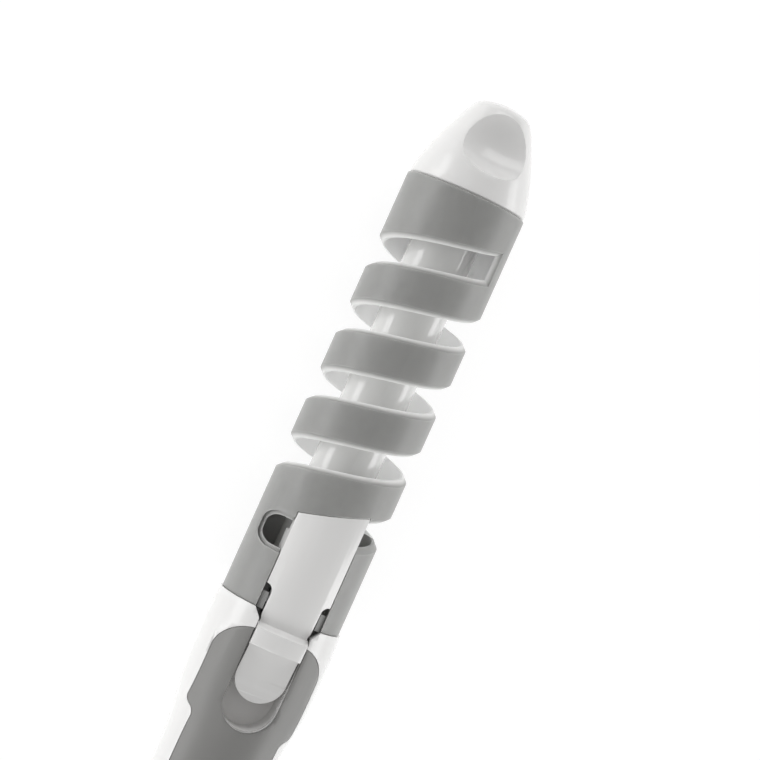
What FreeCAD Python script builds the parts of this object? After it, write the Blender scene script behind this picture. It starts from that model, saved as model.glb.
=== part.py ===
import FreeCAD, Part
import os
import re

import Sketcher

# Spiral hair-curling iron. Local frame: z runs from the handle to the tip with its
# zero at the seam between guard and handle, x points out of the clip lever, and y
# runs across it. One common placement lays the finished tool on its back.

os.makedirs("parts", exist_ok=True)
Vector = FreeCAD.Vector
doc = FreeCAD.newDocument("curling_iron")

# ---------------------------------------------------------------- driving sizes, mm
SIZES = {
    # guard, barrel and tip
    "guard_radius": 18, "guard_wall": 2.2, "guard_length": 129,
    "slot_width": 7.5, "slot_bevel": 1.45, "slot_pitch": 20.6, "slot_start": 28.5,
    "slot_turns": 4.09, "slot_turned": 20, "hole_low": 17.2, "hole_high": 25.8,
    "hole_reach": 15.7, "hole_round": 3.2, "hole_rim": 1.1, "hole_rim_depth": 0.8,
    "spigot_wall": 2, "spigot_length": 7, "flange_out": 1.3,
    "barrel_radius": 9.5, "barrel_wall": 1.2, "barrel_foot": 4, "barrel_screw_z": 2.5, "barrel_head": 5,
    "tip_height": 28, "tip_wall": 1.8, "scoop_radius": 12.7, "scoop_out": 20.4,
    "scoop_rise": 18.8, "scoop_round": 34, "plug_thick": 3, "plug_depth": 10,
    # heater
    "heater_thick": 2.4, "heater_half": 6, "heater_low": 30, "heater_high": 95,
    "film": 0.3, "clamp_low": 24, "clamp_high": 100,
    # clip lever
    "channel_half": 10, "lever_gap": 0.3, "lever_wall": 2.3, "window_low": 28.8,
    "window_slope": 0.31, "neck_half": 7.6, "ridge_half": 7.7, "ridge_out": 19.8,
    "pad_half": 7.4, "pad_out": 16.4, "pad_drop": 2.4, "pad_wall": 2.4,
    "pad_end": 25.3, "jaw_low": 13, "jaw_high": 28, "jaw_wall": 1.8,
    "pin_radius": 1.25, "pin_fit": 0.05, "pin_x": 12.6, "pin_z": 3, "ear_radius": 3.3,
    "ear_in": 5.4, "ear_out": 7.2, "spring_wire": 0.45, "spring_coil": 2.15,
    "clamp_wall": 1, "clamp_gap": 0.4,
    # tray under the lever
    "tray_half": 8, "tray_wall": 1.7, "tray_end": 25.7, "tray_head": 11,
    "tray_floor": 4, "tray_floor_wall": 1.5,
    # handle
    "handle_length": 168, "collar_radius": 18.5, "bulge_radius": 19,
    "waist_radius": 16.1, "pommel_radius": 18.5, "pommel_round": 14,
    "shell_wall": 3.3, "rear_wall": 2.2, "panel_wall": 1.6, "panel_gap": 0.15,
    "panel_shoulder": 16, "panel_half": 13.3, "panel_foot": 18, "rest_depth": 18,
    "panel_end": "=handle_length - panel_foot",
    "boss_radius": 3, "screw_radius": 1.3, "screw_head": 2.4, "screw_head_thick": 1.6,
    "screw_upper_y": 10.3, "screw_upper_z": 44, "screw_lower_y": 9.5,
    "screw_lower_up": 17, "screw_lower_z": "=handle_length - screw_lower_up",
    # electrics
    "board_half": 9, "board_thick": 1.6, "board_x": 3, "board_high": 59,
    "board_foot": 30, "board_low": "=handle_length - board_foot", "board_screw_y": 6.6,
    "board_screw_inset": 4,
    "switch_z": 74, "switch_long": 13, "switch_half": 3.5, "switch_tall": 5,
    "slider_travel": 4, "slider_half": 3.2, "slider_long": 12, "stem_half": 1.4,
    "led_z": 92, "led_radius": 1.5, "lead_radius": 0.7, "lead_apart": 2.6,
    # cord swivel
    "swivel_nose": 10, "swivel_neck": 7, "swivel_gap": 0.3, "swivel_disc": 9.5,
    "swivel_disc_thick": 3, "nose_radius": 6.3, "cord_bore": 3.3,
    "cord_bore_depth": 12, "contact_radius": 1.2,
    "lead_line": 2.2, "fit": 0.1,
}
sheet = doc.addObject("Spreadsheet::Sheet", "sizes")
for row, (alias, size) in enumerate(SIZES.items(), start=1):
    sheet.set(f"A{row}", alias)
    sheet.set(f"B{row}", str(size))
    sheet.setAlias(f"B{row}", alias)
doc.recompute()


# ---------------------------------------------------------------- drawing helpers
def value(formula):
    """What a formula of sheet sizes comes to now."""
    return float(sheet.evalExpression(str(formula)))


def bound(formula):
    """The same formula as another object's expression."""
    return re.sub(r"\b([a-z_]\w*)\b(?!\()", r"sizes.\1", str(formula))


def tie(thing, **formulas):
    """Bind properties to formulas; a double underscore stands for a dot."""
    for name, formula in formulas.items():
        thing.setExpression(name.replace("__", "."), bound(formula))


def body(label):
    made = doc.addObject("PartDesign::Body", label)
    made.Label = label
    made.AllowCompound = True
    return made


def plane_sketch(owner, plane, lift=0, turn=0):
    """An empty sketch on one origin plane, lifted off it and turned about its upright."""
    sketch = owner.newObject("Sketcher::SketchObject", owner.Label + "_sketch")
    origin = [part for part in owner.Origin.OriginFeatures if part.Role == plane]
    sketch.AttachmentSupport = [(origin[0], "")]
    sketch.MapMode = "FlatFace"
    if turn:
        axis = Vector(0, 1, 0)
        sketch.AttachmentOffset = FreeCAD.Placement(Vector(), FreeCAD.Rotation(axis, 1))
        tie(sketch, AttachmentOffset__Rotation__Angle=turn)
    if lift:
        tie(sketch, AttachmentOffset__Base__z=lift)
    return sketch


def bend_middle(start, end, radius):
    """Midpoint of the short arc from start to end; a positive radius turns left."""
    chord = end - start
    half = chord.Length / 2
    side = Vector(chord.y, -chord.x, 0).normalize()
    rise = abs(radius) - (radius * radius - half * half) ** 0.5
    return (start + end) * 0.5 + side * (rise if radius > 0 else -rise)


def draw_path(sketch, corners):
    """A closed path. A corner is (x, y), or (x, y, radius) where an arc arrives."""
    count = len(corners)
    points = [Vector(value(corner[0]), value(corner[1]), 0) for corner in corners]
    first = sketch.GeometryCount
    for index, start in enumerate(points):
        target = corners[(index + 1) % count]
        end = points[(index + 1) % count]
        if len(target) == 3:
            middle = bend_middle(start, end, value(target[2]))
            sketch.addGeometry(Part.Arc(start, middle, end))
        else:
            sketch.addGeometry(Part.LineSegment(start, end))
    ends = []
    for index, start in enumerate(points):
        curved = len(corners[(index + 1) % count]) == 3
        left = curved and value(corners[(index + 1) % count][2]) < 0
        ends.append((2, 1) if left else (1, 2))
    for index in range(count):
        after = (index + 1) % count
        sketch.addConstraint(Sketcher.Constraint(
            "Coincident", first + index, ends[index][1], first + after, ends[after][0]))
    for index, corner in enumerate(corners):
        for kind, formula in (("DistanceX", corner[0]), ("DistanceY", corner[1])):
            rule = sketch.addConstraint(Sketcher.Constraint(
                kind, first + index, ends[index][0], value(formula)))
            sketch.setExpression(f"Constraints[{rule}]", bound(formula))
        target = corners[(index + 1) % count]
        if len(target) == 3:
            rule = sketch.addConstraint(Sketcher.Constraint(
                "Radius", first + index, abs(value(target[2]))))
            sketch.setExpression(f"Constraints[{rule}]", bound(f"abs({target[2]})"))
    return sketch


def draw_circle(sketch, x, y, radius):
    ring = sketch.addGeometry(Part.Circle(
        Vector(value(x), value(y), 0), Vector(0, 0, 1), value(radius)))
    for kind, point, formula in (("DistanceX", 3, x), ("DistanceY", 3, y)):
        rule = sketch.addConstraint(Sketcher.Constraint(kind, ring, point, value(formula)))
        sketch.setExpression(f"Constraints[{rule}]", bound(formula))
    rule = sketch.addConstraint(Sketcher.Constraint("Radius", ring, value(radius)))
    sketch.setExpression(f"Constraints[{rule}]", bound(radius))
    return sketch


def box_corners(x_low, x_high, y_low, y_high):
    return [(x_low, y_low), (x_high, y_low), (x_high, y_high), (x_low, y_high)]


def turned(owner, corners, kind="Revolution"):
    """Revolve an (r, z) path about the tool axis; kind Groove cuts it away."""
    sketch = draw_path(plane_sketch(owner, "XZ_Plane"), corners)
    feature = owner.newObject("PartDesign::" + kind, owner.Label + "_" + kind.lower())
    feature.Profile = sketch
    feature.ReferenceAxis = (sketch, ["V_Axis"])
    feature.Angle = 360
    return feature


def extruded(owner, plane, low, high, kind="Pad", corners=None, circles=()):
    """Pad or pocket a path on an origin plane between two distances off it."""
    sketch = plane_sketch(owner, plane, lift=low)
    if corners:
        draw_path(sketch, corners)
    for x, y, radius in circles:
        draw_circle(sketch, x, y, radius)
    feature = owner.newObject("PartDesign::" + kind, owner.Label + "_" + kind.lower())
    feature.Profile = sketch
    feature.Reversed = kind == "Pocket"
    tie(feature, Length=f"({high}) - ({low})")
    return feature


def across(owner, half, corners, kind="Pad"):
    """Pad or pocket an (x, z) path by the same half width to both sides."""
    sketch = draw_path(plane_sketch(owner, "XZ_Plane"), corners)
    feature = owner.newObject("PartDesign::" + kind, owner.Label + "_" + kind.lower())
    feature.Profile = sketch
    feature.Midplane = True
    tie(feature, Length=f"2 * ({half})")
    return feature


def rod(radius, height, x=0, y=0, z=0, along="z"):
    """A plain cylinder that starts at a point and runs along one axis."""
    made = doc.addObject("Part::Cylinder", "rod")
    turns = {"z": (Vector(0, 0, 1), 0), "x": (Vector(0, 1, 0), 90),
             "y": (Vector(1, 0, 0), -90)}
    made.Placement = FreeCAD.Placement(Vector(), FreeCAD.Rotation(*turns[along]))
    tie(made, Radius=radius, Height=height, Placement__Base__x=x,
        Placement__Base__y=y, Placement__Base__z=z)
    return made


def block(x_low, x_high, y_low, y_high, z_low, z_high):
    made = doc.addObject("Part::Box", "block")
    tie(made, Length=f"({x_high}) - ({x_low})", Width=f"({y_high}) - ({y_low})",
        Height=f"({z_high}) - ({z_low})", Placement__Base__x=x_low,
        Placement__Base__y=y_low, Placement__Base__z=z_low)
    return made


def fused(label, pieces):
    made = doc.addObject("Part::MultiFuse", label)
    made.Label = label
    made.Shapes = pieces
    return made


def grouped(label, pieces):
    made = doc.addObject("Part::Compound", label)
    made.Label = label
    made.Links = pieces
    return made


def less(label, base, tools):
    made = doc.addObject("Part::Cut", label)
    made.Label = label
    made.Base = base
    made.Tool = tools[0] if len(tools) == 1 else fused(label + "_tools", tools)
    return made


def shared(label, pieces):
    made = doc.addObject("Part::MultiCommon", label)
    made.Label = label
    made.Shapes = pieces
    return made


def screw(x, y, z, length, along, radius, head_radius, head):
    """A screw: shank from a point along an axis, with a slotted head behind it."""
    x_head = f"({x}) - ({head})" if along == "x" else x
    y_head = f"({y}) - ({head})" if along == "y" else y
    z_head = f"({z}) - ({head})" if along == "z" else z
    shank = rod(radius, length, x, y, z, along)
    cap = rod(head_radius, head, x_head, y_head, z_head, along)
    arm = f"({head_radius}) * 0.7"
    thin = f"({head_radius}) * 0.16"
    deep = f"({head}) * 0.5"
    slots = []
    for long_way, short_way in ((arm, thin), (thin, arm)):
        if along == "x":
            slots.append(block(x_head, f"({x_head}) + {deep}", f"({y}) - {long_way}",
                               f"({y}) + {long_way}", f"({z}) - {short_way}",
                               f"({z}) + {short_way}"))
        else:
            slots.append(block(f"({x}) - {long_way}", f"({x}) + {long_way}",
                               f"({y}) - {short_way}", f"({y}) + {short_way}",
                               z_head, f"({z_head}) + {deep}"))
    return less("screw", fused("screw_blank", [shank, cap]), slots)


# ---------------------------------------------------------------- spiral guard
# One moulding: base collar, helical rib and top collar, open along the clip.
guard_inner = "(guard_radius - guard_wall)"
spigot_outer = f"({guard_inner} - 0.2)"
spigot_inner = f"({spigot_outer} - spigot_wall)"
guard = body("guard_moulding")
turned(guard, [
    (spigot_inner, "-spigot_length"), (spigot_outer, "-spigot_length"),
    (spigot_outer, "-6"), (f"{spigot_outer} + flange_out", "-6"),
    (f"{spigot_outer} + flange_out", "-4"), (spigot_outer, "-4"), (spigot_outer, "0"),
    ("guard_radius - 0.35", "0"), ("guard_radius", "0.35"),
    ("guard_radius", "guard_length - 0.4"), ("guard_radius - 0.4", "guard_length"),
    (guard_inner, "guard_length"), (guard_inner, "3"), (spigot_inner, "1")])
doc.recompute()
slot = plane_sketch(guard, "XZ_Plane", turn="slot_turned")
slot_reach = "(slot_width / 2 + slot_bevel + 0.6)"
draw_path(slot, [
    (f"{guard_inner} - 1", "slot_start - slot_width / 2"),
    ("guard_radius - slot_bevel", "slot_start - slot_width / 2"),
    ("guard_radius + 0.6", f"slot_start - {slot_reach}"),
    ("guard_radius + 0.6", f"slot_start + {slot_reach}"),
    ("guard_radius - slot_bevel", "slot_start + slot_width / 2"),
    (f"{guard_inner} - 1", "slot_start + slot_width / 2")])
doc.recompute()
helix = guard.newObject("PartDesign::SubtractiveHelix", "spiral_slot")
helix.Profile = slot
helix.ReferenceAxis = (slot, ["V_Axis"])
helix.Mode = 1
tie(helix, Pitch="slot_pitch", Turns="slot_turns")
doc.recompute()


def hole_path(grown):
    """The window's round end beside the lever, grown by a rim."""
    left = f"(-hole_reach - {grown})"
    low = f"(hole_low - {grown})"
    high = f"(hole_high + {grown})"
    bend = f"(hole_round + {grown} / 2)"
    return [
        (left, f"{low} + {bend}"), (f"{left} + {bend}", low, bend), ("-7", low),
        ("-7", high), (f"{left} + {bend}", high), (left, f"{high} - {bend}", bend)]


extruded(guard, "YZ_Plane", "2", "guard_radius + 2", "Pocket", hole_path("0"))
doc.recompute()
extruded(guard, "YZ_Plane", "0.5", "guard_radius + 2", "Pocket", [
    ("-channel_half", "-spigot_length - 1"), ("channel_half", "-spigot_length - 1"),
    ("channel_half", "window_low + 2 * channel_half * window_slope"),
    ("-channel_half", "window_low")])
doc.recompute()

rim_bar = body("hole_rim_bar")
extruded(rim_bar, "YZ_Plane", "2", "guard_radius + 2", "Pad", hole_path("hole_rim"))
doc.recompute()
less("spiral_guard", guard, [less("hole_rim_tool", rim_bar, [
    rod("guard_radius - hole_rim_depth", "guard_length")])])

# ---------------------------------------------------------------- barrel and tip cap
barrel = body("heater_barrel")
barrel_top = "(guard_length - barrel_head)"
barrel_inner = "(barrel_radius - barrel_wall)"
turned(barrel, [
    (barrel_inner, "-barrel_foot"), ("barrel_radius", "-barrel_foot"),
    ("barrel_radius", barrel_top), (barrel_inner, barrel_top)])
doc.recompute()

cap_spigot = f"({guard_inner} - fit)"
cap_bore = f"({cap_spigot} - tip_wall)"
nose_half = "(guard_radius - 11.6)"
tip = body("tip_cap")
turned(tip, [
    (cap_bore, "guard_length - 4"), (cap_spigot, "guard_length - 4"),
    (cap_spigot, "guard_length"), ("guard_radius - 0.9", "guard_length"),
    ("guard_radius - 0.4", "guard_length + 0.5"),
    ("guard_radius - 0.4", "guard_length + 2"),
    ("guard_radius - 2.6", "guard_length + 10.2", "60"),
    ("guard_radius - 5.7", "guard_length + 18", "60"),
    ("guard_radius - 9.1", "guard_length + tip_height - 3", "40"),
    (nose_half, "guard_length + tip_height - 1.1", "4.5"),
    ("0", "guard_length + tip_height", f"({nose_half} * {nose_half} + 1.21) / 2.2"),
    ("0", "guard_length + 13"), (f"{cap_bore} - 7.6", "guard_length + 13"),
    (cap_bore, "guard_length + 2")])
doc.recompute()


def upright_axis(sketch, x, half):
    """A construction line up the sketch at one x, for a turn about it."""
    low, high = Vector(value(x), -value(half), 0), Vector(value(x), value(half), 0)
    line = sketch.addGeometry(Part.LineSegment(low, high), True)
    for kind, point, formula in (("DistanceX", 1, x), ("DistanceX", 2, x),
                                 ("DistanceY", 1, f"-{half}"), ("DistanceY", 2, half)):
        rule = sketch.addConstraint(Sketcher.Constraint(
            kind, line, point, value(formula)))
        sketch.setExpression(f"Constraints[{rule}]", bound(formula))


for side in (1, -1):
    scoop = plane_sketch(tip, "XZ_Plane")
    draw_circle(scoop, f"{side} * scoop_out", "guard_length + scoop_rise",
                "scoop_radius")
    upright_axis(scoop, f"{side} * scoop_round", "tip_height")
    doc.recompute()
    dish = tip.newObject("PartDesign::Groove", "scoop")
    dish.Profile = scoop
    dish.ReferenceAxis = (scoop, ["Axis0"])
    dish.Angle = 360
    doc.recompute()

plug = body("barrel_end_plug")
plug_radius = f"({cap_bore} - fit)"
turned(plug, [
    ("0", f"{barrel_top} - plug_depth"),
    (f"{barrel_inner} - fit", f"{barrel_top} - plug_depth"),
    (f"{barrel_inner} - fit", barrel_top), (plug_radius, barrel_top),
    (plug_radius, f"{barrel_top} + plug_thick"), ("0", f"{barrel_top} + plug_thick")])
doc.recompute()

# ---------------------------------------------------------------- heater
ptc = fused("ptc_heater", [
    block("-heater_thick / 2", "heater_thick / 2", "-heater_half", "heater_half",
          "heater_low", "heater_high"),
    block("0.2", "lead_line - lead_radius - 0.05", "lead_apart - 0.8",
          "lead_apart + 0.8", "heater_low - 14", "heater_low"),
    block("0.2", "lead_line - lead_radius - 0.05", "-lead_apart - 0.8",
          "-lead_apart + 0.8", "heater_low - 14", "heater_low")])
film_x = "(heater_thick / 2 + film)"
film_y = "(heater_half + film)"
insulation = less("heater_insulation", block(
    f"-{film_x}", film_x, f"-{film_y}", film_y, "heater_low", "heater_high"), [
    block("-heater_thick / 2", "heater_thick / 2", "-heater_half", "heater_half",
          "heater_low - 1", "heater_high + 1")])
for label, low, high in (("heater_clamp_front", film_x, "barrel_radius"),
                         ("heater_clamp_rear", "-barrel_radius", f"-{film_x}")):
    shared(label, [
        rod(f"{barrel_inner} - fit", "clamp_high - clamp_low", z="clamp_low"),
        block(low, high, "-barrel_radius", "barrel_radius", "clamp_low", "clamp_high")])
fused("thermal_fuse", [
    rod("1.5", "12", x="-3", z="2"), rod("0.4", "34", x="-3", z="-12")])
fused("heater_leads", [
    rod("lead_radius", "board_high + 31", x="lead_line", y=y, z="-board_high - 11")
    for y in ("lead_apart", "-lead_apart")])

# ---------------------------------------------------------------- barrel holder
# A ring under the guard's spigot; its front is cut away for the lever tray.
holder_z = "(-spigot_length)"
ring = body("holder_ring")
turned(ring, [
    ("barrel_radius + fit", f"{holder_z} - 2.2"),
    (f"{spigot_outer} - 0.3", f"{holder_z} - 2.2"),
    (f"{spigot_outer} - 0.3", f"{holder_z} - fit"),
    (f"{spigot_inner} - fit", f"{holder_z} - fit"),
    (f"{spigot_inner} - fit", "-1"), ("barrel_radius + fit", "-1")])
tray_outer = "(tray_half + tray_wall)"
screw_y = f"(-{spigot_inner} + 1.2)"
screw_z = "-barrel_screw_z"
less("barrel_holder", ring, [
    block("tray_floor - 0.3", "guard_radius", f"-{tray_outer} - 0.2",
          f"{tray_outer} + 0.2", f"{holder_z} - 3", "0"),
    rod("0.85", "5", y=f"{screw_y} - 0.5", z=screw_z, along="y"),
    rod("1.5", "3", y=f"{screw_y} - 3", z=screw_z, along="y")])
extruded(barrel, "XZ_Plane", "2", "barrel_radius + 2", "Pocket",
         circles=[("0", screw_z, "0.85")])
doc.recompute()
fused("barrel_screw", [
    rod("0.8", f"{spigot_inner} - barrel_radius + 0.2", y=screw_y, z=screw_z,
        along="y"),
    rod("1.4", "0.8", y=f"{screw_y} - 0.8", z=screw_z, along="y")])

# ---------------------------------------------------------------- clip lever
lever_half = "(channel_half - lever_gap)"
plate_inner = "(guard_radius - lever_wall)"
under_neck = "(pin_x + spring_coil + spring_wire + 0.2)"
lever = body("clip_lever")
across(lever, lever_half, [
    ("pad_out - pad_drop - pad_wall", "-pad_end"), ("pad_out - pad_drop", "-pad_end"),
    ("pad_out", "-9.7"), ("ridge_out + 0.2", "-9.7"),
    ("ridge_out + 0.2", "window_low + 10"), ("9", "window_low + 10"), ("9", "5"),
    (under_neck, "5"), (under_neck, "-2.5"), ("pad_out - pad_wall", "-9.7")])
doc.recompute()
turned(lever, [
    ("guard_radius", "4.4"), ("guard_radius - 1.1", "-3.3"), ("ridge_out", "-4.6"),
    ("ridge_out - 0.5", "-9.7"), ("ridge_out + 6", "-9.7"),
    ("ridge_out + 6", "window_low + 12"), ("guard_radius", "window_low + 12")],
    "Groove")
doc.recompute()
turned(lever, [("0", "5"), (plate_inner, "5"), (plate_inner, "window_low + 12"),
               ("0", "window_low + 12")], "Groove")
doc.recompute()
top_left = "(window_low + lever_gap * window_slope - 0.35)"
top_right = f"({top_left} + 2 * {lever_half} * window_slope)"
fillet = f"({lever_half} - neck_half)"
pad_centre = "(pad_half - pad_end)"
outline = [
    ("0", "-pad_end", "pad_half"), ("pad_half", pad_centre, "pad_half"),
    ("pad_half", "-10.3"), ("ridge_half", "-9.7"), ("ridge_half", "-4"),
    ("neck_half", "-2.5"), ("neck_half", "5.2"),
    (lever_half, f"5.2 + {fillet}", f"-{fillet}"), (lever_half, top_right),
    (f"-{lever_half}", top_left), (f"-{lever_half}", f"5.2 + {fillet}"),
    ("-neck_half", "5.2", f"-{fillet}"), ("-neck_half", "-2.5"),
    ("-ridge_half", "-4"), ("-ridge_half", "-9.7"), ("-pad_half", "-10.3"),
    ("-pad_half", pad_centre)]
frame = plane_sketch(lever, "YZ_Plane", lift="2")
draw_path(frame, outline)
draw_path(frame, box_corners("-channel_half - 5", "channel_half + 5",
                             "-pad_end - 5", "window_low + 20"))
trim = lever.newObject("PartDesign::Pocket", "lever_outline")
trim.Profile = frame
trim.Reversed = True
tie(trim, Length="ridge_out + 5")
doc.recompute()
for low, high in ((f"{lever_half} - jaw_wall", lever_half),
                  (f"-{lever_half}", f"-{lever_half} + jaw_wall")):
    extruded(lever, "YZ_Plane", "8", f"{plate_inner} - 1.9", "Pad",
             box_corners(low, high, "jaw_low", "jaw_high - 5"))
    doc.recompute()
ear_path = [
    ("pin_x - ear_radius", "pin_z"), ("pin_x", "pin_z - ear_radius", "ear_radius"),
    (f"{under_neck} + 0.4", "pin_z - ear_radius"), (f"{under_neck} + 0.4", "6.5"),
    ("pin_x - ear_radius + 1", "6.5")]
for low, high in (("ear_in", "ear_out"), ("-ear_out", "-ear_in")):
    extruded(lever, "XZ_Plane", low, high, "Pad", ear_path)
    doc.recompute()
clamp_inner = "(barrel_radius + clamp_gap)"
clamp_outer = f"({clamp_inner} + clamp_wall)"
post_heights = ("jaw_low + 5", "jaw_high - 5")
for start, radius in ((f"{clamp_outer} + 0.05", "2.3"), (f"{clamp_inner} + 0.1", "1.2")):
    extruded(lever, "YZ_Plane", start, f"{plate_inner} + 0.5", "Pad",
             circles=[("0", z, radius) for z in post_heights])
    doc.recompute()
extruded(lever, "XZ_Plane", f"-{lever_half} - 1", f"{lever_half} + 1", "Pocket",
         circles=[("pin_x", "pin_z", "pin_radius + pin_fit")])
doc.recompute()

jaw_ring = less("jaw_ring", rod(clamp_outer, "jaw_high - jaw_low - 1", z="jaw_low"), [
    rod(clamp_inner, "jaw_high - jaw_low + 1", z="jaw_low - 1")])
jaw_half = f"({lever_half} - jaw_wall - 0.3)"
less("clamp_plate", shared("jaw_blank", [jaw_ring, block(
    "0", "guard_radius", f"-{jaw_half}", jaw_half, "0", "guard_length")]), [
    rod("1.3", "8", x="barrel_radius", z=z, along="x") for z in post_heights])

pin_half = f"({tray_outer} - 0.1)"
rod_pin = rod("pin_radius", f"2 * {pin_half}", "pin_x", f"-{pin_half}", "pin_z", "y")
rod_pin.Label = "clip_pivot_pin"

coil = body("spring_coil_body")
wire = plane_sketch(coil, "XY_Plane", lift="pin_z")
draw_circle(wire, "pin_x + spring_coil", "-ear_in + 0.8", "spring_wire")
upright_axis(wire, "pin_x", "ear_in")
doc.recompute()
winding = coil.newObject("PartDesign::AdditiveHelix", "winding")
winding.Profile = wire
winding.ReferenceAxis = (wire, ["Axis0"])
winding.Mode = 1
winding.LeftHanded = True
winding.Turns = 7.5
tie(winding, Pitch="(2 * ear_in - 1.6) / 7.5")
doc.recompute()
fused("clip_spring", [
    coil,
    rod("spring_wire", "pin_z + 2.2", "pin_x + spring_coil", "-ear_in + 0.8", "-2.2"),
    rod("spring_wire", "pin_z + 3.9", "pin_x - spring_coil", "ear_in - 0.8", "-3.9")])

# ---------------------------------------------------------------- handle skins
def skin(inset):
    """The handle's smooth outer solid, drawn in by an inset."""
    solid = body("skin")
    foot = "(-handle_length)"
    waist = "(-handle_length + 78)"
    turned(solid, [
        ("0", foot), (f"pommel_radius - pommel_round - ({inset})", foot),
        (f"pommel_radius - ({inset})", f"{foot} + pommel_round", "pommel_round"),
        (f"(pommel_radius + waist_radius) / 2 - ({inset})", f"{foot} + 46", "427"),
        (f"waist_radius - ({inset})", waist, "-427"),
        (f"waist_radius + 0.35 - ({inset})", "-48"),
        (f"bulge_radius - 1.1 - ({inset})", "-32", "-89"),
        (f"bulge_radius - ({inset})", "-20", "67"), (f"bulge_radius - ({inset})", "-8"),
        (f"collar_radius - ({inset})", "0", "64"), ("0", "0")])
    doc.recompute()
    return solid


FAR = "(2 * bulge_radius)"
end_wall = "(-handle_length + 4)"
seat_radius = f"({spigot_outer} + fit)"
seat_flange = f"({spigot_outer} + flange_out + fit)"
outer_skin = skin("0")


def hollow(wall):
    """The handle's inside, with the guard's seat at its head."""
    inner = shared("inner", [skin(wall), block(
        f"-{FAR}", FAR, f"-{FAR}", FAR, end_wall, "-spigot_length - fit")])
    return fused("hollow", [
        inner,
        rod(seat_radius, "spigot_length + 2", z="-spigot_length - 0.5"),
        rod(seat_flange, "2 + 2 * fit", z="-6 - fit")])


def half_space(low, high):
    return block(low, high, f"-{FAR}", FAR, f"-2 * handle_length", "5")


def prism(label, corners, low, high):
    """A plain bar with an outline across the tool, drawn in its own body."""
    bar = body(label)
    extruded(bar, "YZ_Plane", low, high, "Pad", corners)
    doc.recompute()
    return bar


# ---------------------------------------------------------------- lever tray
tray_path = [
    (f"-{tray_outer}", "-tray_end"), ("0", f"-tray_end - {tray_outer}", tray_outer),
    (tray_outer, "-tray_end", tray_outer), (tray_outer, "tray_head"),
    (f"-{tray_outer}", "tray_head")]
tray = prism("tray_bar", tray_path, "tray_floor", "guard_radius")
extruded(tray, "YZ_Plane", "tray_floor + tray_floor_wall", FAR, "Pocket", [
    ("-tray_half", "-tray_end"), ("0", "-tray_end - tray_half", "tray_half"),
    ("tray_half", "-tray_end", "tray_half"), ("tray_half", "-8"), ("-tray_half", "-8")])
doc.recompute()
extruded(tray, "YZ_Plane", "pin_x - spring_coil + 0.6", FAR, "Pocket",
         box_corners("-tray_half", "tray_half", "-8.5", "-3.5"))
doc.recompute()
extruded(tray, "YZ_Plane", "0", FAR, "Pocket",
         box_corners("-tray_half", "tray_half", "-4", "tray_head + 1"))
doc.recompute()
extruded(tray, "YZ_Plane", "0", "6", "Pocket",
         box_corners(f"-{tray_outer} - 1", f"{tray_outer} + 1", "-4", "tray_head + 1"))
doc.recompute()
extruded(tray, "YZ_Plane", "pin_x - 0.7", FAR, "Pocket",
         box_corners(f"-{tray_outer} - 1", f"{tray_outer} + 1", "pin_z + 1.9",
                     "tray_head + 1"))
doc.recompute()
extruded(tray, "XZ_Plane", f"-{tray_outer} - 1", f"{tray_outer} + 1", "Pocket",
         circles=[("pin_x", "pin_z", "pin_radius + 0.02")])
doc.recompute()
shared("lever_tray", [tray, fused("tray_room", [
    skin("shell_wall + fit"), rod("guard_radius - 0.7", "tray_head + 1", z="0")])])

# ---------------------------------------------------------------- handle shells
upper_screws = [("screw_upper_y", "-screw_upper_z"), ("-screw_upper_y", "-screw_upper_z")]
lower_screws = [("screw_lower_y", "-screw_lower_z"), ("-screw_lower_y", "-screw_lower_z")]
screw_places = upper_screws + lower_screws
head_x = "(-rest_depth / 2)"
board_face = "(board_x + board_thick)"
board_screws = [("board_screw_y", "-board_high - board_screw_inset"),
                ("-board_screw_y", "-board_high - board_screw_inset"),
                ("board_screw_y", "-board_low + board_screw_inset"),
                ("-board_screw_y", "-board_low + board_screw_inset")]
exit_hole = rod("swivel_neck + swivel_gap", "20", z="-handle_length - 10")
panel_top_y = "7.9"


def panel_path(gap):
    """Outline of the front panel, grown by a gap."""
    half = f"(panel_half + {gap})"
    shoulder = f"(panel_shoulder + {gap})"
    step = f"(({shoulder} + {half}) / 2)"
    foot = f"(-panel_end - {gap})"
    right = [
        (f"{half} - 8", foot), (half, f"{foot} + 8", "8"), (half, "-35.5"),
        (step, "-33", "-3"), (shoulder, "-30.5", "3"), (shoulder, "-14.6"),
        (panel_top_y, f"-5.5 + {gap}", "10")]
    left = [
        (f"-{panel_top_y}", f"-5.5 + {gap}"),
        (f"-{shoulder}", "-14.6", "10"), (f"-{shoulder}", "-30.5"), (f"-{step}", "-33", "3"),
        (f"-{half}", "-35.5", "-3"), (f"-{half}", f"{foot} + 8"),
        (f"-{half} + 8", foot, "8")]
    return right + left


def mouth_path(half):
    """Opening over the tray: widened at the collar, round at the handle end."""
    return [
        (f"-{half}", "-tray_end"), ("0", f"-tray_end - {half}", half),
        (half, "-tray_end", half), (half, "-2.5"), ("channel_half", "0"),
        ("channel_half", "1"), ("-channel_half", "1"), ("-channel_half", "0"),
        (f"-{half}", "-2.5")]


slider_slot = block("0", FAR, "-stem_half - 0.3", "stem_half + 0.3",
                    "-switch_z - slider_travel - 1.9", "-switch_z + 1.9")
led_hole = rod("led_radius + 0.6", FAR, z="-led_z", along="x")

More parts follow.
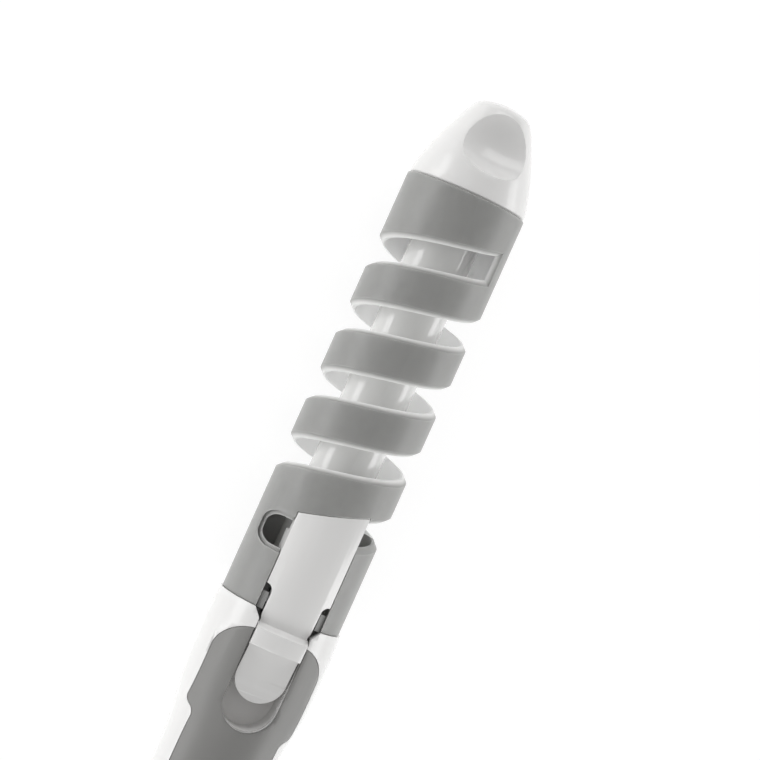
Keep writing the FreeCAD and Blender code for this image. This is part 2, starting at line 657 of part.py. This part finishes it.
rear_wall_solid = less("rear_wall_solid", shared("rear_block", [
    outer_skin, half_space("-rest_depth", "0")]), [hollow("rear_wall"), exit_hole])
rear_bosses = shared("rear_bosses", [skin("1"), fused("rear_posts", [
    rod("boss_radius + 0.4", FAR, f"-{FAR}", y, z, "x") for y, z in screw_places]
    + [block(f"-{FAR}", "-4.1", "-4", "4", "-handle_length + 11", "-handle_length + 21")]),
    half_space("-rest_depth + 0.5", "-4.1 * 0")])
less("handle_shell_rear", fused("rear_with_bosses", [rear_wall_solid, rear_bosses]),
     [rod("screw_radius + 0.1", FAR, f"-{FAR}", y, z, "x") for y, z in screw_places]
     + [rod("screw_head + 0.3", FAR, f"{head_x} - {FAR}", y, z, "x")
        for y, z in screw_places])

front_wall_solid = less("front_wall_solid", shared("front_block", [
    outer_skin, half_space("0", FAR)]), [hollow("shell_wall"), exit_hole])
front_bosses = shared("front_bosses", [skin("shell_wall / 2 + 1.2"), fused(
    "front_posts",
    [rod("boss_radius", FAR, "0", y, z, "x") for y, z in screw_places]
    + [rod("2.2", FAR, board_face, y, z, "x") for y, z in board_screws])])
recess = less("panel_recess", prism(
    "recess_bar", panel_path("panel_gap"), "0", FAR), [skin("panel_wall + 0.05")])
less("handle_shell_front", fused("front_with_bosses", [front_wall_solid, front_bosses]),
     [recess, prism("mouth_bar", mouth_path("tray_half"), "0.5", FAR),
      slider_slot, led_hole]
     + [rod("screw_radius + 0.05", "8.5", "-0.5", y, z, "x") for y, z in screw_places]
     + [rod("0.95", "5", f"{board_face} - 0.5", y, z, "x") for y, z in board_screws])

panel_shell = less("panel_shell", outer_skin, [skin("panel_wall")])
less("front_panel", shared("panel_blank", [
    panel_shell, prism("panel_bar", panel_path("0"), "0", FAR)]), [
    prism("panel_mouth", mouth_path("(tray_half + 0.15)"), "0.5", FAR),
    slider_slot, led_hole])

grouped("handle_screws", [
    screw(head_x, y, z, "16", "x", "screw_radius", "screw_head", "screw_head_thick")
    for y, z in screw_places])

# ---------------------------------------------------------------- electrics
less("circuit_board", block(
    "board_x", board_face, "-board_half", "board_half", "-board_low", "-board_high"),
    [rod("1.1", "6", "board_x - 1", y, z, "x") for y, z in board_screws])
grouped("board_screws", [
    screw("board_x", y, z, "5.5", "x", "0.9", "1.7", "1") for y, z in board_screws])
switch_top = f"({board_face} + switch_tall)"
lever_half_way = "(-switch_z)"
less("slide_switch", block(
    board_face, switch_top, "-switch_half", "switch_half",
    "-switch_z - slider_travel / 2 - switch_long / 2",
    "-switch_z - slider_travel / 2 + switch_long / 2"), [
    block(f"{switch_top} - 1.6", f"{switch_top} + 1", "-stem_half - 0.2",
          "stem_half + 0.2", "-switch_z - slider_travel - 1.8", "-switch_z + 1.8")])
waist_front = "(waist_radius + 0.12)"
fused("power_slider", [
    block(f"{switch_top} - 1.4", f"{waist_front} + 1", "-stem_half", "stem_half",
          "-switch_z - 1.4", "-switch_z + 1.4"),
    block(f"{waist_front} + 0.1", f"{waist_front} + 1.5", "-slider_half",
          "slider_half", "-switch_z - slider_long / 2", "-switch_z + slider_long / 2")]
    + [block(f"{waist_front} + 1.4", f"{waist_front} + 2", "-slider_half + 0.5",
             "slider_half - 0.5", f"-switch_z + {offset} - 0.4",
             f"-switch_z + {offset} + 0.4") for offset in ("-3", "-1", "1", "3")])
fused("indicator_led", [
    rod("led_radius", "4", board_face, z="-led_z", along="x"),
    rod("led_radius + 0.4", "1", board_face, z="-led_z", along="x")])
led_top = "(waist_radius - 0.05)"
rod_lens = rod("led_radius + 0.4", f"{led_top} - {board_face} - 4.2",
               f"{board_face} + 4.2", "0", "-led_z", "x")
rod_lens.Label = "led_lens"
block_foot = "(-handle_length + 10)"
block_head = "(-handle_length + 22)"
fused("supply_leads", [
    rod("0.8", f"-board_low + 6 - {block_head}", "lead_line - 0.1", y, block_head)
    for y in ("lead_apart", "-lead_apart")])
terminal = block("-4", "4", "-5", "5", block_foot, block_head)
terminal.Label = "contact_block"
disc_top = "(-handle_length + 4 + swivel_gap + swivel_disc_thick)"
contact_top = f"({disc_top} + 0.4)"
grouped("contact_leaves", [
    rod("0.9", f"{block_foot} - {contact_top} - 0.1", "0", y, f"{contact_top} + 0.1")
    for y in ("0", "3.6")])

# ---------------------------------------------------------------- cord swivel
swivel = body("cord_swivel")
nose = "(-handle_length - swivel_nose)"
turned(swivel, [
    ("0", f"{nose} + cord_bore_depth"), ("cord_bore", f"{nose} + cord_bore_depth"),
    ("cord_bore", nose), ("cord_bore + 1.7", nose),
    ("cord_bore + 2.3", f"{nose} + 0.7", "0.9"),
    ("nose_radius", f"{nose} + swivel_nose - 1.6"),
    ("swivel_neck", f"{nose} + swivel_nose - 0.4"),
    ("swivel_neck", f"{disc_top} - swivel_disc_thick"),
    ("swivel_disc", f"{disc_top} - swivel_disc_thick"), ("swivel_disc", disc_top),
    ("0", disc_top)])
doc.recompute()
ring_outer = rod("4.6", "0.4", z=disc_top)
grouped("swivel_contacts", [
    rod("contact_radius", "0.4", z=disc_top),
    less("contact_ring", ring_outer, [rod("2.6", "2", z=f"{disc_top} - 1")])])

# ---------------------------------------------------------------- lay down and export
NODES = [
    "spiral_guard", "tip_cap", "heater_barrel", "barrel_end_plug", "ptc_heater",
    "heater_insulation", "heater_clamp_front", "heater_clamp_rear", "thermal_fuse",
    "heater_leads", "barrel_holder", "barrel_screw", "clip_lever", "clamp_plate",
    "clip_pivot_pin", "clip_spring", "lever_tray", "handle_shell_front",
    "handle_shell_rear", "front_panel", "handle_screws", "circuit_board",
    "board_screws", "slide_switch", "power_slider", "indicator_led", "led_lens",
    "supply_leads", "contact_block", "contact_leaves", "cord_swivel",
    "swivel_contacts"]


def lay_down(label):
    """Give a finished piece the common placement, around whatever it has already."""
    piece = doc.getObjectsByLabel(label)[0]
    if piece.TypeId in ("Part::Cylinder", "Part::Box"):
        piece.Label = label + "_bare"
        piece = grouped(label, [piece])
    piece.Placement = FreeCAD.Placement(
        Vector(), FreeCAD.Rotation(Vector(1, 0, 1), 180))
    tie(piece, Placement__Base__z="rest_depth", Placement__Base__x=
        "(handle_length + swivel_nose - guard_length - tip_height) / 2")
    return piece


pieces = [lay_down(label) for label in NODES]
doc.recompute()
for thing in doc.Objects:
    assert "Invalid" not in thing.State and "Error" not in thing.State, thing.Label
for piece in pieces:
    assert not piece.Shape.isNull() and piece.Shape.isValid(), piece.Label
for piece in pieces:
    piece.Shape.exportStep(os.path.join("parts", piece.Label + ".step"))
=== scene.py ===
import bpy
import math
from mathutils import Matrix, Vector


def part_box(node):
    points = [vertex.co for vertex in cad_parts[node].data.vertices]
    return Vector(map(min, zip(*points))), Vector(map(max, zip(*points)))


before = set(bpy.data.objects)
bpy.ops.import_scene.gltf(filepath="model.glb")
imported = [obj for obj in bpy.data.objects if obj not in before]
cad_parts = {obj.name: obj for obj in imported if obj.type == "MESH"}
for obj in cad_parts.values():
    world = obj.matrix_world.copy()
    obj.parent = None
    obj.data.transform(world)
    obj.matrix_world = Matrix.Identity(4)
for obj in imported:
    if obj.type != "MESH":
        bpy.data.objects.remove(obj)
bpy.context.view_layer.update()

# The camera and the white sweep. The iron lies on its back on a bright sheet, lit from
# both sides and from both ends, and the camera looks down on it from the clip side,
# rolled so that the tip points up and to the right. Sheet and room are seen whiter
# than they light the iron, so that its white pieces keep their shading.
iron_axis_height = 0.018
guard_and_tip_length = 0.157
handle_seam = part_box("tip_cap")[1].x - guard_and_tip_length
view_centre_past_seam = 0.0713
look_at = Vector((handle_seam + view_centre_past_seam, 0.0, iron_axis_height))
camera_swing = math.radians(11.5)
camera_roll = math.radians(24.2)
towards_camera = Vector((0.0, math.sin(camera_swing), math.cos(camera_swing)))
across_tool = Vector((0.0, -math.cos(camera_swing), math.sin(camera_swing)))
along_tool = Vector((1.0, 0.0, 0.0))
camera_right = across_tool * math.cos(camera_roll) + along_tool * math.sin(camera_roll)
camera_up = along_tool * math.cos(camera_roll) - across_tool * math.sin(camera_roll)
camera_lens = bpy.data.cameras.new("studio_camera")
camera_lens.lens = 110
camera_lens.sensor_width = 36
camera = bpy.data.objects.new("studio_camera", camera_lens)
bpy.context.scene.collection.objects.link(camera)
camera_distance = 0.661
camera_sidestep = 0.00097
camera_place = look_at + towards_camera * camera_distance - across_tool * camera_sidestep
turn = Matrix((camera_right, camera_up, towards_camera)).transposed().to_4x4()
camera.matrix_world = Matrix.Translation(camera_place) @ turn
bpy.context.scene.camera = camera
bpy.context.scene.view_settings.view_transform = "Standard"


def new_material(name):
    """An empty node material; returns it with its nodes, links and main shader."""
    material = bpy.data.materials.new(name)
    material.use_nodes = True
    tree = material.node_tree
    return material, tree.nodes, tree.links, tree.nodes["Principled BSDF"]


sweep_mesh = bpy.data.meshes.new("sweep")
sweep_half = 20.0
sweep_mesh.from_pydata(
    [(-sweep_half, -sweep_half, 0), (sweep_half, -sweep_half, 0),
     (sweep_half, sweep_half, 0), (-sweep_half, sweep_half, 0)], [], [(0, 1, 2, 3)])
sweep = bpy.data.objects.new("sweep", sweep_mesh)
gap_under_iron = 0.0002
sweep.location.z = -gap_under_iron
bpy.context.scene.collection.objects.link(sweep)
sweep_white, nodes, links, shader = new_material("sweep_white")
shader.inputs["Base Color"].default_value = (0.85, 0.85, 0.85, 1)
shader.inputs["Roughness"].default_value = 0.7
shader.inputs["Emission Color"].default_value = (1, 1, 1, 1)
shader.inputs["Emission Strength"].default_value = 0.42
seen_white = nodes.new("ShaderNodeEmission")
seen_white.inputs["Strength"].default_value = 1.0
seen_or_lit = nodes.new("ShaderNodeMixShader")
seen_share = nodes.new("ShaderNodeMath")
seen_share.operation = "MULTIPLY"
seen_share.inputs[1].default_value = 0.70
links.new(nodes.new("ShaderNodeLightPath").outputs["Is Camera Ray"], seen_share.inputs[0])
links.new(seen_share.outputs["Value"], seen_or_lit.inputs["Fac"])
links.new(shader.outputs["BSDF"], seen_or_lit.inputs[1])
links.new(seen_white.outputs["Emission"], seen_or_lit.inputs[2])
links.new(seen_or_lit.outputs["Shader"], nodes["Material Output"].inputs["Surface"])
sweep_mesh.materials.append(sweep_white)

room = bpy.data.worlds.new("studio_room")
room.use_nodes = True
room.node_tree.nodes["Background"].inputs["Color"].default_value = (0.96, 0.96, 0.955, 1)
nodes, links = room.node_tree.nodes, room.node_tree.links
nodes["Background"].inputs["Strength"].default_value = 0.45
seen_room = nodes.new("ShaderNodeBackground")
seen_room.inputs["Color"].default_value = (1, 1, 1, 1)
room_share = nodes.new("ShaderNodeMixShader")
links.new(nodes.new("ShaderNodeLightPath").outputs["Is Camera Ray"], room_share.inputs["Fac"])
links.new(nodes["Background"].outputs["Background"], room_share.inputs[1])
links.new(seen_room.outputs["Background"], room_share.inputs[2])
links.new(room_share.outputs["Shader"], nodes["World Output"].inputs["Surface"])
bpy.context.scene.world = room


def softbox(name, place, aim, width, height, power):
    """A rectangular softbox at a place, turned to face a point."""
    lamp = bpy.data.lights.new(name, "AREA")
    lamp.shape = "RECTANGLE"
    lamp.size, lamp.size_y, lamp.energy = width, height, power
    box = bpy.data.objects.new(name, lamp)
    box.location = place
    box.rotation_euler = (Vector(aim) - Vector(place)).to_track_quat("-Z", "Y").to_euler()
    bpy.context.scene.collection.objects.link(box)


softbox("softbox_left", (0.05, 0.75, 0.16), look_at, 1.2, 0.30, 3.1)
softbox("softbox_right", (0.05, -0.75, 0.16), look_at, 1.2, 0.30, 2.9)
softbox("softbox_tip", (1.0, 0.0, 0.45), look_at, 0.7, 0.5, 2.6)
softbox("softbox_handle", (-0.75, 0.10, 0.50), look_at, 0.7, 0.5, 2.4)

# Spiral guard. One grey nylon moulding with a fine satin skin, slightly cloudy, that
# holds hair off the hot barrel; its gap winds from the clip window up to the collar.
# The edges of the gap are rounded where fingers and hair pass.


def group_socket(tree, side, kind, name, value=None):
    """One named socket on a shader node group."""
    made = tree.interface.new_socket(name=name, in_out=side, socket_type=kind)
    if value is not None:
        made.default_value = value
    return made


def moulded_skin_group():
    """Cloud, speckle and handling marks that every moulded plastic here carries."""
    tree = bpy.data.node_groups.new("moulded_skin", "ShaderNodeTree")
    group_socket(tree, "INPUT", "NodeSocketColor", "Colour", (0.5, 0.5, 0.5, 1))
    group_socket(tree, "INPUT", "NodeSocketFloat", "Cloud", 0.05)
    group_socket(tree, "INPUT", "NodeSocketFloat", "Roughness", 0.3)
    group_socket(tree, "INPUT", "NodeSocketFloat", "Handling", 0.08)
    group_socket(tree, "INPUT", "NodeSocketFloat", "Grain size", 0.0004)
    group_socket(tree, "OUTPUT", "NodeSocketColor", "Colour")
    group_socket(tree, "OUTPUT", "NodeSocketFloat", "Roughness")
    group_socket(tree, "OUTPUT", "NodeSocketFloat", "Grain")
    nodes, links = tree.nodes, tree.links
    inside = nodes.new("NodeGroupInput")
    outside = nodes.new("NodeGroupOutput")
    place = nodes.new("ShaderNodeTexCoord")
    cloud = nodes.new("ShaderNodeTexNoise")
    cloud.inputs["Scale"].default_value = 45
    cloud.inputs["Detail"].default_value = 4
    links.new(place.outputs["Object"], cloud.inputs["Vector"])
    spread = nodes.new("ShaderNodeMapRange")
    spread.inputs["From Min"].default_value = 0.3
    spread.inputs["From Max"].default_value = 0.7
    links.new(cloud.outputs["Fac"], spread.inputs["Value"])
    dim = nodes.new("ShaderNodeMath")
    dim.operation = "MULTIPLY"
    links.new(spread.outputs["Result"], dim.inputs[0])
    links.new(inside.outputs["Cloud"], dim.inputs[1])
    tint = nodes.new("ShaderNodeMix")
    tint.data_type = "RGBA"
    tint.blend_type = "MULTIPLY"
    links.new(dim.outputs["Value"], tint.inputs["Factor"])
    links.new(inside.outputs["Colour"], tint.inputs["A"])
    tint.inputs["B"].default_value = (0.55, 0.56, 0.58, 1)
    links.new(tint.outputs["Result"], outside.inputs["Colour"])
    smear = nodes.new("ShaderNodeTexNoise")
    smear.inputs["Scale"].default_value = 90
    smear.inputs["Detail"].default_value = 6
    smear.inputs["Distortion"].default_value = 1.2
    links.new(place.outputs["Object"], smear.inputs["Vector"])
    part = nodes.new("ShaderNodeMath")
    part.operation = "MULTIPLY"
    links.new(smear.outputs["Fac"], part.inputs[0])
    links.new(inside.outputs["Handling"], part.inputs[1])
    total = nodes.new("ShaderNodeMath")
    total.operation = "ADD"
    links.new(part.outputs["Value"], total.inputs[0])
    links.new(inside.outputs["Roughness"], total.inputs[1])
    links.new(total.outputs["Value"], outside.inputs["Roughness"])
    pitch = nodes.new("ShaderNodeMath")
    pitch.operation = "DIVIDE"
    pitch.inputs[0].default_value = 1.0
    links.new(inside.outputs["Grain size"], pitch.inputs[1])
    grain = nodes.new("ShaderNodeTexNoise")
    grain.inputs["Detail"].default_value = 3
    links.new(place.outputs["Object"], grain.inputs["Vector"])
    links.new(pitch.outputs["Value"], grain.inputs["Scale"])
    links.new(grain.outputs["Fac"], outside.inputs["Grain"])
    return tree


def edge_rub_group():
    """A mask along worn outer edges, broken up by noise."""
    tree = bpy.data.node_groups.new("edge_rub", "ShaderNodeTree")
    group_socket(tree, "INPUT", "NodeSocketFloat", "Reach", 0.5)
    group_socket(tree, "OUTPUT", "NodeSocketFloat", "Mask")
    nodes, links = tree.nodes, tree.links
    inside = nodes.new("NodeGroupInput")
    outside = nodes.new("NodeGroupOutput")
    shape = nodes.new("ShaderNodeNewGeometry")
    edge = nodes.new("ShaderNodeMapRange")
    edge.inputs["From Min"].default_value = 0.53
    edge.inputs["From Max"].default_value = 0.62
    links.new(shape.outputs["Pointiness"], edge.inputs["Value"])
    place = nodes.new("ShaderNodeTexCoord")
    breaks = nodes.new("ShaderNodeTexNoise")
    breaks.inputs["Scale"].default_value = 300
    links.new(place.outputs["Object"], breaks.inputs["Vector"])
    broken = nodes.new("ShaderNodeMath")
    broken.operation = "MULTIPLY"
    links.new(edge.outputs["Result"], broken.inputs[0])
    links.new(breaks.outputs["Fac"], broken.inputs[1])
    held = nodes.new("ShaderNodeMath")
    held.operation = "MULTIPLY"
    links.new(broken.outputs["Value"], held.inputs[0])
    links.new(inside.outputs["Reach"], held.inputs[1])
    links.new(held.outputs["Value"], outside.inputs["Mask"])
    return tree


moulded_skin = moulded_skin_group()
edge_rub = edge_rub_group()


def moulded_plastic(name, colour, rub_colour, roughness, cloud=0.05, handling=0.08,
                    grain=0.0004, grain_depth=0.000004, rub=0.5, coat=0.0):
    """Injection-moulded plastic: cloudy colour, satin grain and rubbed edges."""
    material, nodes, links, shader = new_material(name)
    skin = nodes.new("ShaderNodeGroup")
    skin.node_tree = moulded_skin
    skin.inputs["Colour"].default_value = colour
    skin.inputs["Cloud"].default_value = cloud
    skin.inputs["Roughness"].default_value = roughness
    skin.inputs["Handling"].default_value = handling
    skin.inputs["Grain size"].default_value = grain
    worn = nodes.new("ShaderNodeGroup")
    worn.node_tree = edge_rub
    worn.inputs["Reach"].default_value = rub
    rubbed = nodes.new("ShaderNodeMix")
    rubbed.data_type = "RGBA"
    links.new(worn.outputs["Mask"], rubbed.inputs["Factor"])
    links.new(skin.outputs["Colour"], rubbed.inputs["A"])
    rubbed.inputs["B"].default_value = rub_colour
    links.new(rubbed.outputs["Result"], shader.inputs["Base Color"])
    links.new(skin.outputs["Roughness"], shader.inputs["Roughness"])
    bump = nodes.new("ShaderNodeBump")
    bump.inputs["Strength"].default_value = 0.35
    bump.inputs["Distance"].default_value = grain_depth
    links.new(skin.outputs["Grain"], bump.inputs["Height"])
    links.new(bump.outputs["Normal"], shader.inputs["Normal"])
    shader.inputs["IOR"].default_value = 1.49
    shader.inputs["Coat Weight"].default_value = coat
    return material


def finish_piece(node, material, edge=0.0):
    """Give a CAD piece its material and, where it is moulded, a small edge radius."""
    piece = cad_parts[node]
    piece.data.materials.clear()
    piece.data.materials.append(material)
    if edge:
        weld = piece.modifiers.new("weld", "WELD")
        weld.merge_threshold = 0.000002  # joins the mesh's split vertices, in metres
        bevel = piece.modifiers.new("edge", "BEVEL")
        bevel.width = edge
        bevel.segments = 2
        bevel.limit_method = "ANGLE"
        bevel.angle_limit = math.radians(32)
        bevel.harden_normals = True
        bevel.use_clamp_overlap = True


guard_grey = moulded_plastic(
    "guard_grey", (0.29, 0.29, 0.283, 1), (0.42, 0.42, 0.41, 1), 0.34, cloud=0.12,
    handling=0.10, grain=0.0005, grain_depth=0.00001, rub=0.4)
guard_shader = guard_grey.node_tree.nodes["Principled BSDF"]
guard_shader.inputs["Subsurface Weight"].default_value = 0.8
guard_shader.inputs["Subsurface Radius"].default_value = (1.0, 1.0, 1.0)
guard_shader.inputs["Subsurface Scale"].default_value = 0.005
# The inside of the wall past the clip window is lighter. The tint stands in for the
# light that comes through the cloudy wall and back from the white barrel.
clip_window_length = 0.029
window_top = handle_seam + clip_window_length
guard_nodes, guard_links = guard_grey.node_tree.nodes, guard_grey.node_tree.links
guard_place = guard_nodes.new("ShaderNodeTexCoord")
from_axis = guard_nodes.new("ShaderNodeVectorMath")
from_axis.operation = "SUBTRACT"
from_axis.inputs[1].default_value = (0.0, 0.0, iron_axis_height)
guard_links.new(guard_place.outputs["Object"], from_axis.inputs[0])
across_axis = guard_nodes.new("ShaderNodeVectorMath")
across_axis.operation = "MULTIPLY"
across_axis.inputs[1].default_value = (0.0, 1.0, 1.0)
guard_links.new(from_axis.outputs["Vector"], across_axis.inputs[0])
axis_distance = guard_nodes.new("ShaderNodeVectorMath")
axis_distance.operation = "LENGTH"
guard_links.new(across_axis.outputs["Vector"], axis_distance.inputs[0])
inner_wall = guard_nodes.new("ShaderNodeMapRange")
guard_skin_radius, guard_inner_radius = 0.0177, 0.0162
inner_wall.inputs["From Min"].default_value = guard_skin_radius
inner_wall.inputs["From Max"].default_value = guard_inner_radius
guard_links.new(axis_distance.outputs["Value"], inner_wall.inputs["Value"])
inner_tint = guard_nodes.new("ShaderNodeMix")
inner_tint.data_type = "RGBA"
inner_tint.inputs["B"].default_value = (0.93, 0.93, 0.92, 1)
along_guard = guard_nodes.new("ShaderNodeSeparateXYZ")
guard_links.new(guard_place.outputs["Object"], along_guard.inputs["Vector"])
past_window = guard_nodes.new("ShaderNodeMath")
past_window.operation = "GREATER_THAN"
past_window.inputs[1].default_value = window_top
guard_links.new(along_guard.outputs["X"], past_window.inputs[0])
bright_wall = guard_nodes.new("ShaderNodeMath")
bright_wall.operation = "MULTIPLY"
guard_links.new(inner_wall.outputs["Result"], bright_wall.inputs[0])
guard_links.new(past_window.outputs["Value"], bright_wall.inputs[1])
guard_links.new(bright_wall.outputs["Value"], inner_tint.inputs["Factor"])
outer_colour = guard_shader.inputs["Base Color"].links[0].from_socket
guard_links.new(outer_colour, inner_tint.inputs["A"])
guard_links.new(inner_tint.outputs["Result"], guard_shader.inputs["Base Color"])
finish_piece("spiral_guard", guard_grey)

# Cool tip. A glossy white cap of the same wall as the guard, pressed into the guard's
# end. It stays cool enough to hold, and has a scooped hollow for a finger each side.
shell_white = moulded_plastic(
    "shell_white", (0.765, 0.76, 0.753, 1), (0.86, 0.86, 0.86, 1), 0.20, cloud=0.04,
    handling=0.10, grain=0.0008, grain_depth=0.000003, rub=0.3, coat=0.35)
finish_piece("tip_cap", shell_white, 0.0002)

# Barrel and the clip's jaw plate. Drawn aluminium tube with a fired white ceramic
# coat, glassy and slightly uneven where it pooled.


def glazed_metal(name, colour, roughness):
    """Fired ceramic coat: a glassy skin with slow waves and fine pinholes."""
    material, nodes, links, shader = new_material(name)
    place = nodes.new("ShaderNodeTexCoord")
    waves = nodes.new("ShaderNodeTexNoise")
    waves.inputs["Scale"].default_value = 120
    waves.inputs["Detail"].default_value = 2
    links.new(place.outputs["Object"], waves.inputs["Vector"])
    bump = nodes.new("ShaderNodeBump")
    bump.inputs["Strength"].default_value = 0.3
    bump.inputs["Distance"].default_value = 0.00002
    links.new(waves.outputs["Fac"], bump.inputs["Height"])
    links.new(bump.outputs["Normal"], shader.inputs["Normal"])
    pins = nodes.new("ShaderNodeTexVoronoi")
    pins.inputs["Scale"].default_value = 900
    links.new(place.outputs["Object"], pins.inputs["Vector"])
    dots = nodes.new("ShaderNodeMapRange")
    dots.inputs["From Min"].default_value = 0.0
    dots.inputs["From Max"].default_value = 0.09
    dots.inputs["To Min"].default_value = 0.82
    dots.inputs["To Max"].default_value = 1.0
    links.new(pins.outputs["Distance"], dots.inputs["Value"])
    tint = nodes.new("ShaderNodeMix")
    tint.data_type = "RGBA"
    tint.inputs["A"].default_value = tuple(0.75 * part for part in colour[:3]) + (1,)
    tint.inputs["B"].default_value = colour
    links.new(dots.outputs["Result"], tint.inputs["Factor"])
    links.new(tint.outputs["Result"], shader.inputs["Base Color"])
    gloss = nodes.new("ShaderNodeMapRange")
    gloss.inputs["To Min"].default_value = roughness
    gloss.inputs["To Max"].default_value = roughness + 0.08
    links.new(waves.outputs["Fac"], gloss.inputs["Value"])
    links.new(gloss.outputs["Result"], shader.inputs["Roughness"])
    shader.inputs["Coat Weight"].default_value = 0.8
    shader.inputs["Coat Roughness"].default_value = 0.06
    return material


ceramic_white = glazed_metal("ceramic_white", (0.84, 0.84, 0.83, 1), 0.14)
finish_piece("heater_barrel", ceramic_white)
finish_piece("clamp_plate", ceramic_white)

# Clip lever. White moulding with a raised ridge and a thumb pad; it turns on a steel
# pin between the tray's cheeks and the coil spring holds its jaw on the barrel.
finish_piece("clip_lever", shell_white, 0.00035)

# Lever tray. One moulding with a pale well that the pad dips into and two cheeks that carry
# the pin.
# Where the cheeks stand beside the guard, from just short of the handle seam towards the tip,
# the colour turns a dark grey close to the guard's.
tray_grey = moulded_plastic(
    "tray_grey", (0.92, 0.91, 0.90, 1), (0.94, 0.94, 0.93, 1), 0.42, cloud=0.08,
    grain=0.0005, grain_depth=0.00001)
tray_nodes, tray_links = tray_grey.node_tree.nodes, tray_grey.node_tree.links
tray_shader = tray_nodes["Principled BSDF"]
tray_place = tray_nodes.new("ShaderNodeTexCoord")
along_tray = tray_nodes.new("ShaderNodeSeparateXYZ")
tray_links.new(tray_place.outputs["Object"], along_tray.inputs["Vector"])
# Mask that turns the tray dark grey from 3.5 mm short of the handle seam on towards the tip;
# the well keeps its pale colour.
cheek_band = tray_nodes.new("ShaderNodeMapRange")
cheek_band.inputs["From Min"].default_value = handle_seam - 0.0035
cheek_band.inputs["From Max"].default_value = handle_seam - 0.0015
tray_links.new(along_tray.outputs["X"], cheek_band.inputs["Value"])
cheek_tint = tray_nodes.new("ShaderNodeMix")
cheek_tint.data_type = "RGBA"
cheek_tint.inputs["B"].default_value = (0.24, 0.24, 0.235, 1)
tray_links.new(cheek_band.outputs["Result"], cheek_tint.inputs["Factor"])
well_colour = tray_shader.inputs["Base Color"].links[0].from_socket
tray_links.new(well_colour, cheek_tint.inputs["A"])
tray_links.new(cheek_tint.outputs["Result"], tray_shader.inputs["Base Color"])
finish_piece("lever_tray", tray_grey)

# Handle shells. Two white halves, screwed together from the back.
finish_piece("handle_shell_front", shell_white, 0.0002)
finish_piece("handle_shell_rear", shell_white)

# Front panel. A flush grey plate in the front shell, with the same satin skin as the
# guard.
panel_grey = moulded_plastic(
    "panel_grey", (0.215, 0.213, 0.207, 1), (0.42, 0.42, 0.41, 1), 0.36, cloud=0.08,
    grain=0.0005, grain_depth=0.00001, rub=0.4)
finish_piece("front_panel", panel_grey, 0.0002)

# Switch and lamp. A ribbed white slider over the panel and a small red lens below it.
finish_piece("power_slider", shell_white)
lens_red, nodes, links, shader = new_material("lens_red")
shader.inputs["Base Color"].default_value = (0.55, 0.03, 0.03, 1)
shader.inputs["Roughness"].default_value = 0.12
finish_piece("led_lens", lens_red)
finish_piece("indicator_led", lens_red)

# Metal pieces. Zinc-plated screws and pin, sprung wire, and brass contacts.


def plated_metal(name, colour, roughness):
    """Plated or bare metal with fine drawn marks in its gloss."""
    material, nodes, links, shader = new_material(name)
    place = nodes.new("ShaderNodeTexCoord")
    drawn = nodes.new("ShaderNodeTexNoise")
    drawn.inputs["Scale"].default_value = 900
    drawn.inputs["Detail"].default_value = 5
    links.new(place.outputs["Object"], drawn.inputs["Vector"])
    gloss = nodes.new("ShaderNodeMapRange")
    gloss.inputs["To Min"].default_value = roughness - 0.08
    gloss.inputs["To Max"].default_value = roughness + 0.12
    links.new(drawn.outputs["Fac"], gloss.inputs["Value"])
    links.new(gloss.outputs["Result"], shader.inputs["Roughness"])
    shader.inputs["Base Color"].default_value = colour
    shader.inputs["Metallic"].default_value = 1.0
    return material


zinc = plated_metal("zinc_plate", (0.62, 0.62, 0.63, 1), 0.3)
brass = plated_metal("brass", (0.78, 0.58, 0.26, 1), 0.28)
aluminium = plated_metal("bare_aluminium", (0.78, 0.79, 0.80, 1), 0.35)
for node in ("handle_screws", "barrel_screw", "clip_pivot_pin", "clip_spring",
             "board_screws", "thermal_fuse"):
    finish_piece(node, zinc)
for node in ("contact_leaves", "swivel_contacts"):
    finish_piece(node, brass)
for node in ("heater_clamp_front", "heater_clamp_rear"):
    finish_piece(node, aluminium)

# Parts inside. Heater, board, switch body and the rest that the shells hide.
dark_resin = moulded_plastic(
    "dark_resin", (0.05, 0.05, 0.05, 1), (0.1, 0.1, 0.1, 1), 0.45)
board_green = moulded_plastic(
    "board_green", (0.03, 0.20, 0.09, 1), (0.1, 0.3, 0.15, 1), 0.35)
amber_film = moulded_plastic(
    "amber_film", (0.55, 0.28, 0.05, 1), (0.6, 0.35, 0.1, 1), 0.25)
element_grey = moulded_plastic(
    "element_grey", (0.28, 0.26, 0.24, 1), (0.4, 0.38, 0.36, 1), 0.6)
sleeve_white = moulded_plastic(
    "sleeve_white", (0.78, 0.77, 0.72, 1), (0.8, 0.8, 0.76, 1), 0.5)
for node in ("barrel_end_plug", "barrel_holder", "slide_switch", "contact_block"):
    finish_piece(node, dark_resin)
finish_piece("circuit_board", board_green)
finish_piece("heater_insulation", amber_film)
finish_piece("ptc_heater", element_grey)
for node in ("heater_leads", "supply_leads"):
    finish_piece(node, sleeve_white)

# Cord swivel. A white gland that turns in the handle's end, with the bore for the
# mains cord.
finish_piece("cord_swivel", shell_white)
